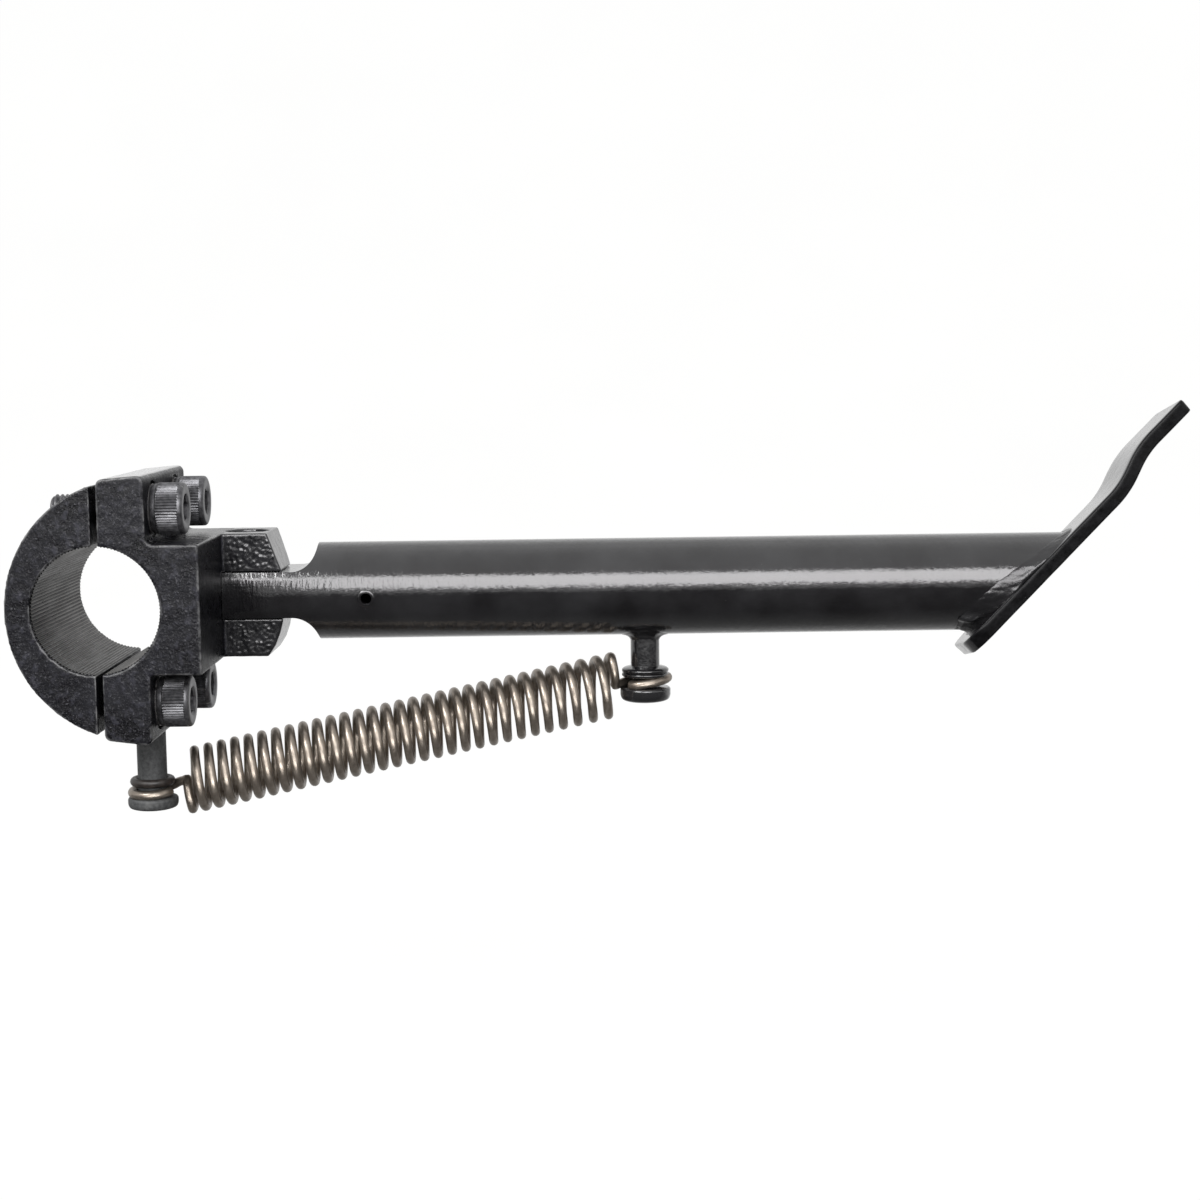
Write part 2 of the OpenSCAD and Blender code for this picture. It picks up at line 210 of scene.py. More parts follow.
def wrinkle_black():
    m = Mat("wrinkle_black")
    col = m.mix(m.ramp(m.noise(300, 4), (0.35, 0.0), (0.7, 1.0)), (0.005, 0.005, 0.006), (0.02, 0.02, 0.022))
    n = m.bump(m.noise(900, 4), 0.3, 0.00012)
    return m.set(Base_Color=col, Roughness=m.ramp(m.noise(700), (0.3, 0.16), (0.7, 0.3)), Normal=n,
                 Coat_Weight=0.4, Coat_Roughness=0.1)


def black_oxide():
    m = Mat("black_oxide")
    n1 = m.noise(700, 5, 0.65)
    col = m.mix(m.ramp(n1, (0.35, 0.0), (0.7, 1.0)), (0.045, 0.045, 0.048), (0.13, 0.13, 0.137))
    edge_wear_and_highlight = m.math("MULTIPLY", m.edge(0.53, 0.64), m.ramp(m.noise(500, 3), (0.35, 0.0), (0.6, 1.0)))
    col = m.mix(edge_wear_and_highlight, col, (0.30, 0.29, 0.28))
    return m.set(Base_Color=col, Metallic=0.65, Roughness=m.ramp(n1, (0.3, 0.30), (0.7, 0.46)),
                 Normal=m.bump(m.noise(1800, 4), 0.25, 0.00008))


def phosphate():
    m = Mat("phosphate")
    n1 = m.noise(1100, 6, 0.7)
    patch = m.noise(160, 3, 0.5)
    col = m.mix(m.ramp(n1, (0.35, 0.0), (0.7, 1.0)), (0.035, 0.036, 0.037), (0.085, 0.088, 0.088))
    col = m.mix(m.ramp(patch, (0.60, 0.0), (0.72, 0.6)), col, (0.16, 0.16, 0.155))
    return m.set(Base_Color=col, Metallic=0.25, Roughness=m.ramp(patch, (0.3, 0.55), (0.7, 0.72)),
                 Normal=m.bump(n1, 0.4, 0.0001))


def ring_dark():
    m = Mat("ring_dark")
    n1 = m.noise(600, 4)
    col = m.mix(m.ramp(n1, (0.35, 0.0), (0.7, 1.0)), (0.012, 0.010, 0.009), (0.035, 0.028, 0.024))
    return m.set(Base_Color=col, Roughness=m.ramp(n1, (0.3, 0.35), (0.7, 0.5)), Normal=m.bump(m.noise(1500), 0.25, 0.0001))


def bronze():
    m = Mat("bronze")
    n1 = m.noise(900, 5)
    col = m.mix(m.ramp(n1, (0.35, 0.0), (0.7, 1.0)), (0.30, 0.17, 0.06), (0.52, 0.34, 0.14))
    return m.set(Base_Color=col, Metallic=0.9, Roughness=m.ramp(n1, (0.3, 0.35), (0.7, 0.5)),
                 Normal=m.bump(m.noise(2500), 0.25, 0.0001))


def spring_steel():
    m = Mat("spring_steel")
    draw = m.noise(520, 5, 0.6, vec=m.mapping((1, 1, 1)), dist=0.4)
    spots = m.ramp(m.voronoi(520), (0.0, 1.0), (0.14, 0.0))
    spots = m.math("MULTIPLY", spots, m.ramp(m.noise(330, 2), (0.56, 0.0), (0.64, 1.0)))
    col = m.mix(m.ramp(draw, (0.32, 0.0), (0.68, 1.0)), (0.20, 0.17, 0.142), (0.31, 0.27, 0.23))
    col = m.mix(m.math("MULTIPLY", spots, 0.7), col, (0.08, 0.055, 0.038))
    rough = m.ramp(m.noise(1300, 4), (0.3, 0.31), (0.7, 0.40))
    return m.set(Base_Color=col, Metallic=0.92, Roughness=rough,
                 Normal=m.bump(m.noise(1500, 4), 0.14, 0.0001))


def serrated_steel():
    m = Mat("serrated_steel")
    n1 = m.noise(500, 5, 0.6, vec=m.mapping((1, 0.12, 1)))
    spots = m.ramp(m.voronoi(330), (0.0, 1.0), (0.08, 0.0))
    xyz = m.node("ShaderNodeSeparateXYZ", Vector=m.co)
    rad = m.math("SQRT", m.math("ADD", m.math("MULTIPLY", xyz.outputs[0], xyz.outputs[0]), m.math("MULTIPLY", xyz.outputs[2], xyz.outputs[2])))
    # painted shade in the grooves: the tooth roots, furthest from the bore's axis, go near black
    root_shade = m.math("MULTIPLY", m.math("SUBTRACT", rad, 0.01560), 3000.0)
    col = m.mix(m.ramp(n1, (0.3, 0.0), (0.7, 1.0)), (0.12, 0.114, 0.106), (0.20, 0.19, 0.178))
    col = m.mix(m.ramp(root_shade, (0.16, 0.0), (0.42, 1.0)), col, (0.002, 0.0018, 0.0016))
    col = m.mix(m.math("MULTIPLY", spots, 0.6), col, (0.05, 0.03, 0.02))
    return m.set(Base_Color=col, Metallic=0.7, Roughness=m.ramp(n1, (0.3, 0.34), (0.7, 0.5)),
                 Normal=m.bump(m.noise(900, 3), 0.08, 0.00008))


M_CAST = cast_black()
M_GLOSS = gloss_black()
M_WELD = gloss_black("weld_black", 1.6)
M_FOOTWELD = gloss_black("foot_weld_black", 1.5, 0.07)
M_WRINKLE = wrinkle_black()
M_EDGE_SHADED = edge_black_shaded()
M_OXIDE = black_oxide()
M_PHOS = phosphate()
M_RING = ring_dark()
M_BRONZE = bronze()
M_SPRING = spring_steel()
M_TEETH = serrated_steel()


# ------------------------------------------------------------------ mesh tools
def mark_sharp(mesh, angle):
    bm = bmesh.new()
    bm.from_mesh(mesh)
    for f in bm.faces:
        f.smooth = True
    lim = math.radians(angle)
    for e in bm.edges:
        e.smooth = not (len(e.link_faces) == 2 and e.calc_face_angle(0) > lim)
    bm.to_mesh(mesh)
    bm.free()


def add(name, verts, faces, mat, body, angle=38, scale=MM):
    mesh = bpy.data.meshes.new(name)
    mesh.from_pydata([tuple(float(c) * scale for c in v) for v in verts], [], [tuple(int(i) for i in f) for f in faces])
    mesh.validate()
    bm = bmesh.new()
    bm.from_mesh(mesh)
    bmesh.ops.recalc_face_normals(bm, faces=bm.faces)
    bm.to_mesh(mesh)
    bm.free()
    mark_sharp(mesh, angle)
    o = bpy.data.objects.new(name, mesh)
    bpy.context.scene.collection.objects.link(o)
    for m in mat if isinstance(mat, (list, tuple)) else [mat]:
        mesh.materials.append(m)
    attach(o, body)
    return o


def grid_faces(rows, cols, wrap=True, off=0, flip=False):
    out = []
    for i in range(rows - 1):
        for j in range(cols if wrap else cols - 1):
            k = (j + 1) % cols
            f = (off + i * cols + j, off + i * cols + k, off + (i + 1) * cols + k, off + (i + 1) * cols + j)
            out.append(f[::-1] if flip else f)
    return out


def lathe(profile, seg=72, radius=None):
    """Closed surface of revolution about +Z from (r, z) points, first and last on or near the axis."""
    verts, faces = [], []
    rows = []
    for i, (r, z) in enumerate(profile):
        row = []
        if r < 1e-6:
            verts.append((0, 0, z))
            row = [len(verts) - 1]
        else:
            for j in range(seg):
                a = 2 * math.pi * j / seg
                rr = radius(i, r, z, a) if radius else r
                verts.append((rr * math.cos(a), rr * math.sin(a), z))
                row.append(len(verts) - 1)
        rows.append(row)
    for a, b in zip(rows, rows[1:]):
        for j in range(seg):
            k = (j + 1) % seg
            if len(a) == 1 and len(b) == 1:
                continue
            if len(a) == 1:
                faces.append((a[0], b[k], b[j]))
            elif len(b) == 1:
                faces.append((a[j], a[k], b[0]))
            else:
                faces.append((a[j], a[k], b[k], b[j]))
    return verts, faces


def moved(verts, m):
    return [tuple(m @ Vector(v)) for v in verts]


def join(parts):
    verts, faces = [], []
    for v, f in parts:
        n = len(verts)
        verts += list(v)
        faces += [tuple(i + n for i in q) for q in f]
    return verts, faces


def rounded(points, r, n=4):
    """Polyline with its inner corners rounded; points are (a, b) or (a, b, radius)."""
    out = [tuple(points[0][:2])]
    for i in range(1, len(points) - 1):
        p0, p1, p2 = (Vector(points[k][:2]) for k in (i - 1, i, i + 1))
        rad = points[i][2] if len(points[i]) > 2 else r
        u, v = (p0 - p1), (p2 - p1)
        d = min(rad, u.length * 0.45, v.length * 0.45)
        if d < 1e-4:
            out.append(tuple(p1))
            continue
        a, b = p1 + u.normalized() * d, p1 + v.normalized() * d
        for k in range(n + 1):
            t = k / n
            out.append(tuple((1 - t) ** 2 * a + 2 * t * (1 - t) * p1 + t * t * b))
    out.append(tuple(points[-1][:2]))
    return out


def sweep(path, radius, sides=16, cap_round=0.25):
    """Closed round tube along points; radius is a number or a function of the index."""
    P = np.array(path, float)
    n = len(P)
    T = np.empty_like(P)
    T[1:-1] = P[2:] - P[:-2]
    T[0], T[-1] = P[1] - P[0], P[-1] - P[-2]
    T /= np.linalg.norm(T, axis=1)[:, None]
    u = np.cross(T[0], [0, 0, 1.0])
    if np.linalg.norm(u) < 1e-3:
        u = np.cross(T[0], [0, 1.0, 0])
    U = []
    for t in T:
        u = u - (u @ t) * t
        u /= np.linalg.norm(u)
        U.append(u)
    ang = np.arange(sides) * 2 * math.pi / sides
    rings = []
    for i in range(n):
        r = radius(i) if callable(radius) else radius
        v = np.cross(T[i], U[i])
        rings.append([(P[i] + r * (math.cos(a) * U[i] + math.sin(a) * v), r) for a in ang])
    verts = []

    def ring(i, k, push):
        t, c = T[i], P[i]
        for q, r in rings[i]:
            verts.append(tuple(c + (q - c) * k + t * push))

    r0 = rings[0][0][1]
    ring(0, 1 - cap_round, 0)
    ring(0, 1, cap_round * r0 * 0.6)
    for i in range(1, n - 1):
        ring(i, 1, 0)
    ring(n - 1, 1, -cap_round * r0 * 0.6)
    ring(n - 1, 1 - cap_round, 0)
    rows = len(verts) // sides
    faces = grid_faces(rows, sides)
    faces.append(tuple(range(sides))[::-1])
    faces.append(tuple((rows - 1) * sides + j for j in range(sides)))
    return verts, faces


def smooth_path(pts, step):
    """Catmull-Rom through pts, resampled about every step."""
    P = [np.array(p, float) for p in pts]
    P = [2 * P[0] - P[1]] + P + [2 * P[-1] - P[-2]]
    out = []
    for i in range(1, len(P) - 2):
        a, b, c, d = P[i - 1:i + 3]
        n = max(1, int(round(np.linalg.norm(c - b) / step)))
        for k in range(n):
            t = k / n
            out.append(0.5 * (2 * b + (c - a) * t + (2 * a - 5 * b + 4 * c - d) * t * t + (3 * b - a - 3 * c + d) * t ** 3))
    out.append(P[-2])
    return out


def node_copy(node, name, mat, body, bevel=0.45, seg=3, skip=None, angle=28):
    """A new piece from a CAD node's surface, its edges rounded in the mesh."""
    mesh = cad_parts[node].data.copy()
    mesh.name = name
    bm = bmesh.new()
    bm.from_mesh(mesh)
    bmesh.ops.remove_doubles(bm, verts=bm.verts, dist=2e-6)
    bmesh.ops.dissolve_limit(bm, angle_limit=math.radians(0.6), verts=bm.verts, edges=bm.edges)
    bmesh.ops.recalc_face_normals(bm, faces=bm.faces)
    lim = math.radians(angle)
    sharp = [e for e in bm.edges if len(e.link_faces) == 2 and e.calc_face_angle(0) > lim
             and not (skip and skip(e))]
    if bevel:
        bmesh.ops.bevel(bm, geom=sharp, offset=bevel * MM, offset_type="OFFSET", segments=seg,
                        profile=0.5, affect="EDGES", clamp_overlap=True, miter_outer="ARC")
        bmesh.ops.remove_doubles(bm, verts=bm.verts, dist=1e-6)
    bm.to_mesh(mesh)
    bm.free()
    mesh.materials.clear()
    for m in mat if isinstance(mat, (list, tuple)) else [mat]:
        mesh.materials.append(m)
    mark_sharp(mesh, 42)
    o = bpy.data.objects.new(name, mesh)
    bpy.context.scene.collection.objects.link(o)
    wn = o.modifiers.new("weighted", "WEIGHTED_NORMAL")
    wn.keep_sharp = True
    wn.weight = 80
    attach(o, body)
    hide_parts(node)
    return o


def hexpoint(a, af):
    """Point of a hexagon of width af at angle a."""
    k = (a + math.pi / 6) % (math.pi / 3) - math.pi / 6
    r = af / 2 / math.cos(k)
    return r * math.cos(a), r * math.sin(a)


def tri(x):
    x = x % 1.0
    return 1 - abs(2 * x - 1)


def socket_head(r, h, af, depth, knurl=0.0, n_knurl=56, k0=1.5, k1=None, base=0.25, chamfer=0.7, seg=None):
    """Underside at z=0 to the socket's floor: rows of points round the head."""
    seg = seg or n_knurl * 6
    k1 = k1 if k1 is not None else h - chamfer - 0.35
    rows = []

    def ring(z, rr, amp=0.0):
        row = []
        for j in range(seg):
            a = 2 * math.pi * j / seg
            q = rr - amp * (1 - tri(j * n_knurl / seg)) if amp else rr
            row.append((q * math.cos(a), q * math.sin(a), z))
        rows.append(row)

    ring(0.0, r - base - 0.4)
    ring(0.15, r - base - 0.12)
    ring(0.4, r - base)
    if knurl:
        ring(k0 - 0.3, r - base)
        ring(k0 - 0.1, r - 0.05, 0.0)
        ring(k0, r, 0.0)
        ring(k0 + 0.25, r, knurl)
        ring(k1 - 0.25, r, knurl)
        ring(k1, r, 0.0)
    ring(h - chamfer - 0.1, r - 0.02)
    ring(h - chamfer * 0.62, r - chamfer * 0.16)
    ring(h - chamfer * 0.25, r - chamfer * 0.5)
    ring(h - 0.04, r - chamfer * 0.95)
    ring(h, r - chamfer * 1.15)
    ring(h, af / math.sqrt(3) + 0.45)
    ring(h - 0.12, af / math.sqrt(3) + 0.22)
    for z, k in ((h - 0.45, 1.0), (h - depth, 1.0)):
        rows.append([(*[c * k for c in hexpoint(2 * math.pi * j / seg, af)], z) for j in range(seg)])
    verts = [p for row in rows for p in row]
    faces = grid_faces(len(rows), seg)
    verts.append((0, 0, h - depth - 0.9))
    c = len(verts) - 1
    last = (len(rows) - 1) * seg
    faces += [(last + j, last + (j + 1) % seg, c) for j in range(seg)]
    return verts, faces, seg


def thread(r, z0, z1, pitch=1.25, depth=0.62, seg=36, step=0.16, run=1.2):
    """Threaded rod from z0 (tip, chamfered) up to z1, as rows; open at z1."""
    rows = []
    n = int((z1 - z0) / step)
    for i in range(n + 1):
        z = z0 + (z1 - z0) * i / n
        fade = min(1.0, max(0.0, (z1 - z) / run))
        cone = min(r, r - 0.95 + (z - z0) * 1.1)
        row = []
        for j in range(seg):
            a = 2 * math.pi * j / seg
            t = tri(z / pitch - j / seg)
            q = min(cone, r - depth * fade * (1 - min(1.0, t * 1.25)))
            row.append((q * math.cos(a), q * math.sin(a), z))
        rows.append(row)
    verts = [p for row in rows for p in row]
    faces = grid_faces(len(rows), seg)
    verts.append((0, 0, z0 + 0.15))
    c = len(verts) - 1
    faces += [(j, c, (j + 1) % seg) for j in range(seg)]
    return verts, faces, (len(rows) - 1) * seg, seg


# ------------------------------------------------------------------ clamp halves
def ramp01(x, lo, hi):
    return min(1.0, max(0.0, (x - lo) / (hi - lo)))


def pebbles(p):
    """Leathery cast skin, about 0 to 1."""
    d, _ = noise.voronoi(Vector((p.x / 0.98, p.z / 0.92, 2.0)), distance_metric="DISTANCE", exponent=2.5)
    cell = min(1.0, (d[1] - d[0]) * 1.9)
    blob = max(0.0, 1 - d[0] * d[0] * 1.5)
    return 0.55 * cell + 0.35 * blob + 0.30 * noise.noise(p * 1.3) + 0.16 * noise.noise(p * 3.1)


def casting(node, name, voxel, mats, shape):
    """A new piece with the rounded, slightly uneven skin of a casting, from a CAD node's surface."""
    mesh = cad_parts[node].data.copy()
    bm = bmesh.new()
    bm.from_mesh(mesh)
    bmesh.ops.remove_doubles(bm, verts=bm.verts, dist=2e-6)
    bm.to_mesh(mesh)
    bm.free()
    o = bpy.data.objects.new(name, mesh)
    bpy.context.scene.collection.objects.link(o)
    rm = o.modifiers.new("remesh", "REMESH")
    rm.mode = "VOXEL"
    rm.voxel_size = voxel * MM
    rm.adaptivity = 0.0
    sm = o.modifiers.new("smooth", "SMOOTH")
    sm.factor = 0.5
    sm.iterations = 3
    dep = bpy.context.evaluated_depsgraph_get()
    new = bpy.data.meshes.new_from_object(o.evaluated_get(dep))
    o.modifiers.clear()
    o.data = new
    new.name = name
    n = len(new.vertices)
    co, no = np.empty(n * 3), np.empty(n * 3)
    new.vertices.foreach_get("co", co)
    new.vertices.foreach_get("normal", no)
    co, no = co.reshape(-1, 3), no.reshape(-1, 3)
    for i in range(n):
        p = Vector(co[i]) / MM
        h = 0.045 * noise.noise(p * 0.33) + 0.022 * noise.noise(p * 1.1) + 0.012 * noise.noise(p * 2.6)
        h += shape(p, no[i])
        co[i] += no[i] * h * MM
    new.vertices.foreach_set("co", co.ravel())
    new.materials.clear()
    for m in mats:
        new.materials.append(m)
    for f in new.polygons:
        f.use_smooth = True
    new.update()
    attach(o, "clamp")
    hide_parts(node)
    return o


def body_shape(p, nrm):
    """Extra height of the skin: cast pebbles on the jaw fronts."""
    if nrm[1] < -0.8 and 5.4 < p.y < 6.6 and p.x > 26.0 and abs(p.z) > 6.2:
        top = 15.4 if p.z > 0 else 15.2
        rim = min(ramp01(p.x, 26.6, 27.6), ramp01(-p.x, -40.4 + 0.2 * max(0.0, abs(p.z) - 6), -39.2 + 0.2 * max(0.0, abs(p.z) - 6)),
                  ramp01(abs(p.z), 6.6, 7.5), ramp01(-abs(p.z), -top, -top + 0.9))
        return 0.24 * rim * (pebbles(p) - 0.45)
    return 0.0


body_o = casting("clamp_body", "clamp_body_casting", 0.33, [M_CAST, M_WRINKLE], body_shape)
for f in body_o.data.polygons:
    c = f.center / MM
    if c.y > 5.0 and c.x > 26.2 and abs(c.z) > 5.6:
        f.material_index = 1
cap_o = casting("clamp_cap", "clamp_cap_casting", 0.40, [M_CAST], lambda p, nrm: 0.0)


def teeth(a0, a1, y0, y1, count):
    """Serrated skin of the bore between two angles, as a closed strip."""
    r_out, r_tip, r_root = 16.15, 15.62, 15.93
    n = count * 2
    ys = [y0, y0 + 0.25] + [y0 + 0.25 + (y1 - y0 - 0.5) * k / 10 for k in range(1, 10)] + [y1 - 0.25, y1]
    verts, cols = [], n + 1
    for y in ys:
        edge = y in (y0, y1)
        for i in range(n + 1):
            a = math.radians(a0 + (a1 - a0) * i / n)
            wob = 0.008 * noise.noise(Vector((i * 0.7, y * 0.3, 0)))
            r = (r_root if (i % 2 == 0 or edge) else r_tip) + wob
            verts.append((r * math.cos(a), y, r * math.sin(a)))
    rows = len(ys)
    off = len(verts)
    for y in (y0, y1):
        for i in range(n + 1):
            a = math.radians(a0 + (a1 - a0) * i / n)
            verts.append((r_out * math.cos(a), y, r_out * math.sin(a)))
    faces = grid_faces(rows, cols, wrap=False)
    for i in range(n):
        faces.append((off + i, off + i + 1, off + cols + i + 1, off + cols + i))
        faces.append((i, i + 1, off + i + 1, off + i))
        r = (rows - 1) * cols
        faces.append((r + i, r + i + 1, off + cols + i + 1, off + cols + i))
    for i in (0, n):
        faces.append([k * cols + i for k in range(rows)] + [off + cols + i, off + i])
    return verts, faces


v, f = teeth(91.7, 268.3, -25.2, 25.2, 56)
add("clamp_cap_serrations", v, f, M_TEETH, "clamp", angle=25)
v, f = teeth(-84.6, 84.6, -25.2, 25.2, 54)
add("clamp_body_serrations", v, f, M_TEETH, "clamp", angle=25)

# ------------------------------------------------------------------ clamp screws and washers
X_SEAT = 13.0
parts = []
for n, (sy, sz) in enumerate(((-1, 1), (1, 1), (-1, -1), (1, -1))):
    hv, hf, seg = socket_head(6.5, 8.0, 6.0, 4.2, knurl=0.3, n_knurl=54, k0=1.5, k1=6.9)
    tv, tf, top, tseg = thread(3.95, -25, -6.0)
    # unthreaded neck closes the rod under the head
    k = len(tv)
    tv += [(3.95 * math.cos(2 * math.pi * j / tseg), 3.95 * math.sin(2 * math.pi * j / tseg), 0.05) for j in range(tseg)]
    tf += [(top + j, top + (j + 1) % tseg, k + (j + 1) % tseg, k + j) for j in range(tseg)]
    tf.append(tuple(range(k, k + tseg)))
    hf.append(tuple(range(seg))[::-1])
    spin = Matrix.Rotation(math.radians((14, 37, 8, 51)[n]), 4, "Z")
    place = Matrix.Translation((X_SEAT, sy * 14.25, sz * 24.1)) @ Matrix.Rotation(math.radians(90), 4, "Y") @ spin
    parts.append((moved(hv, place), hf))
    parts.append((moved(tv, place), tf))
v, f = join(parts)
screws = add("clamp_screws_knurled", v, f, M_OXIDE, "clamp", angle=30)
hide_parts("clamp_screws")

parts = []
for n, (sy, sz) in enumerate(((-1, 1), (1, 1), (-1, -1), (1, -1))):
    verts, cols = [], 8
    steps = 60
    sec = [(4.2, 0.1), (4.35, 0), (6.0, 0), (6.2, 0.15), (6.2, 1.15), (6.0, 1.28), (4.35, 1.28), (4.2, 1.15)]
    for i in range(steps + 1):
        a = math.radians(4 + 352 * i / steps)
        for r, z in sec:
            verts.append((r * math.cos(a), r * math.sin(a), z + 0.0))
    faces = grid_faces(steps + 1, cols)
    faces.append(tuple(range(cols)))
    faces.append(tuple(steps * cols + j for j in range(cols))[::-1])
    place = Matrix.Translation((11.7, sy * 14.25, sz * 24.1)) @ Matrix.Rotation(math.radians(90), 4, "Y") @ Matrix.Rotation(math.radians(40 + 95 * n), 4, "Z")
    parts.append((moved(verts, place), faces))
v, f = join(parts)
wash = add("lock_washers_split", v, f, M_OXIDE, "clamp")
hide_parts("lock_washers")

# ------------------------------------------------------------------ clamp spring post and its ring
prof = rounded([(0, -22.6), (2.6, -22.6), (3.0, -23.2), (3.0, -32.45), (3.76, -32.45, 0.05), (3.76, -50.9, 0.2), (6.15, -51.25, 0.25),
                (6.42, -51.7, 0.3), (6.42, -52.9, 0.4), (6.1, -53.8, 0.6), (5.1, -54.15, 0.4), (0, -54.2)], 0.25, 5)
v, f = lathe(prof, 96)
o = add("clamp_spring_post_turned", moved(v, Matrix.Translation((POST_A[0], POST_A[1], 0))), f, M_PHOS, "clamp")
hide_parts("clamp_spring_post")
ring = [(4.75 + 0.98 * math.cos(t) - (0.0 if math.cos(t) > 0 else 0.0), -47.1 + 1.08 * math.sin(t)) for t in np.linspace(0, 2 * math.pi, 25)[:-1]]
seg = 72
verts = [(r * math.cos(2 * math.pi * j / seg) + POST_A[0], r * math.sin(2 * math.pi * j / seg) + POST_A[1], z) for r, z in ring for j in range(seg)]
faces = grid_faces(len(ring), seg) + [((len(ring) - 1) * seg + j, (len(ring) - 1) * seg + (j + 1) % seg, (j + 1) % seg, j) for j in range(seg)]
o = add("clamp_post_ring_round", verts, faces, M_RING, "clamp")
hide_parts("clamp_post_ring")

# ------------------------------------------------------------------ pivot bolt and bush
hv, hf, seg = socket_head(5.4, 3.6, 5.0, 2.6, knurl=0.0, n_knurl=16, chamfer=0.5, base=0.1)
hf.append(tuple(range(seg))[::-1])
shank = rounded([(0, -27.2), (3.2, -27.2), (3.95, -26.4), (3.95, -17.9), (4.0, -17.8), (4.0, 0.05), (0, 0.05)], 0.15, 3)
sv, sf = lathe(shank, 48)
v, f = join([(hv, hf), (sv, sf)])
o = add("pivot_bolt_turned", moved(v, Matrix.Translation((PIVOT[0], PIVOT[1], 11.8))), f, M_OXIDE, "clamp")
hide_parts("pivot_bolt")
node_copy("pivot_bush", "pivot_bush_turned", M_BRONZE, "leg", bevel=0.3)

# ------------------------------------------------------------------ leg
seam = lambda e: all(v.co.x / MM > 50.2 for v in e.verts)
node_copy("leg_tongue", "leg_tongue_milled", M_GLOSS, "leg", bevel=0.5, skip=seam)
node_copy("leg_butt_weld", "leg_butt_weld_ground", M_GLOSS, "leg", bevel=0)
node_copy("leg_tube", "leg_tube_painted", M_GLOSS, "leg", bevel=0)

# lip of paint round the vent hole
prof = [(1.32, -1.2), (1.42, -0.15), (1.62, 0.10), (1.95, 0.12), (2.25, 0.0), (2.45, -0.2), (2.3, -0.7), (1.6, -1.4)]
seg = 40
verts = []
for r, h in prof:
    for j in range(seg):
        a = 2 * math.pi * j / seg
        x, z = 62.9 + r * math.cos(a), -1.0 + r * math.sin(a)
        y = 16 - math.sqrt(12.7 ** 2 - z * z)
        verts.append((x, y - h, z))
faces = grid_faces(len(prof), seg) + [((len(prof) - 1) * seg + j, (len(prof) - 1) * seg + (j + 1) % seg, (j + 1) % seg, j) for j in range(seg)]
add("leg_vent_lip", verts, faces, M_WELD, "leg")

# leg spring post: shaft, two stacked collar rings, neck and head
prof = rounded([(0, -9), (3.4, -9), (3.8, -9.4), (3.8, -21.1, 0.1), (5.6, -21.5, 0.3), (6.25, -22.0, 0.4), (6.1, -22.7, 0.3), (5.7, -22.85, 0.15),
                (6.15, -23.0, 0.3), (6.2, -23.7, 0.4), (5.5, -24.05, 0.3), (3.85, -24.1, 0.1), (3.85, -26.6, 0.1), (6.25, -26.75, 0.3),
                (6.65, -27.2, 0.3), (6.65, -28.9, 0.5), (6.25, -30.0, 0.6), (5.0, -30.45, 0.4), (0, -30.5)], 0.2, 5)
v, f = lathe(prof, 96)
o = add("leg_spring_post_turned", moved(v, Matrix.Translation((POST_B[0], POST_B[1], 0))), f, M_GLOSS, "leg")
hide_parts("leg_spring_post")

# weld fillet between the leg and its post, wrapped on the tube
seg, rows = 72, 9
verts = []
for i in range(rows):
    t = i / (rows - 1)
    for j in range(seg):
        a = 2 * math.pi * j / seg
        lump = 1 + 0.10 * noise.noise(Vector((math.cos(a) * 2.1, math.sin(a) * 2.1, 3))) + 0.05 * math.sin(a * 11)
        r = 3.75 + (3.1 * lump) * (1 - t) ** 2.0
        x, y = r * math.cos(a), r * math.sin(a)
        base = -math.sqrt(max(0.0, 12.7 ** 2 - y * y))
        z = base - (2.0 * lump) * t ** 1.8 + (0.18 if t < 0.01 else -0.05)
        verts.append((POST_B[0] + x, POST_B[1] + y, z))
top = len(verts)
for j in range(seg):
    a = 2 * math.pi * j / seg
    verts.append((POST_B[0] + 3.3 * math.cos(a), POST_B[1] + 3.3 * math.sin(a), -12.6 - 2.0))
for j in range(seg):
    a = 2 * math.pi * j / seg
    y = 3.3 * math.sin(a)
    verts.append((POST_B[0] + 3.3 * math.cos(a), POST_B[1] + y, -math.sqrt(12.7 ** 2 - y * y) + 0.3))
faces = grid_faces(rows + 2, seg) + [((rows + 1) * seg + j, (rows + 1) * seg + (j + 1) % seg, (j + 1) % seg, j) for j in range(seg)]
o = add("leg_post_weld_bead", verts, faces, M_WELD, "leg")
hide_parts("leg_post_weld")


# ------------------------------------------------------------------ foot plate
def leg_point(x, y, z):
    """Point of the foot's twisted frame, from the pivot, to the part's frame in mm."""
    return (PIVOT[0] + x, PIVOT[1] + y * math.cos(TWIST) - z * math.sin(TWIST), y * math.sin(TWIST) + z * math.cos(TWIST))


B1 = (188.7, -19.2)
PLATE_T = 3.85


def plate_path():
    pts = [B1]
    for a, l in ((45, 57.2), (63.5, 11.7), (44.6, 16.2)):
        x, z = pts[-1]
        pts.append((x + l * math.cos(math.radians(a)), z + l * math.sin(math.radians(a))))
    n = (-math.sin(math.radians(45)) * PLATE_T / 2, math.cos(math.radians(45)) * PLATE_T / 2)
    pts = [(x + n[0], z + n[1]) for x, z in pts]
    line = rounded([pts[0], (*pts[1], 4.4), (*pts[2], 4.4), pts[3]], 4.4, 10)
    out = [np.array(line[0])]
    for a, b in zip(line, line[1:]):
        a, b = np.array(a), np.array(b)
        n = max(1, int(np.linalg.norm(b - a) / 1.0))
        for k in range(1, n + 1):
            out.append(a + (b - a) * k / n)
    return out


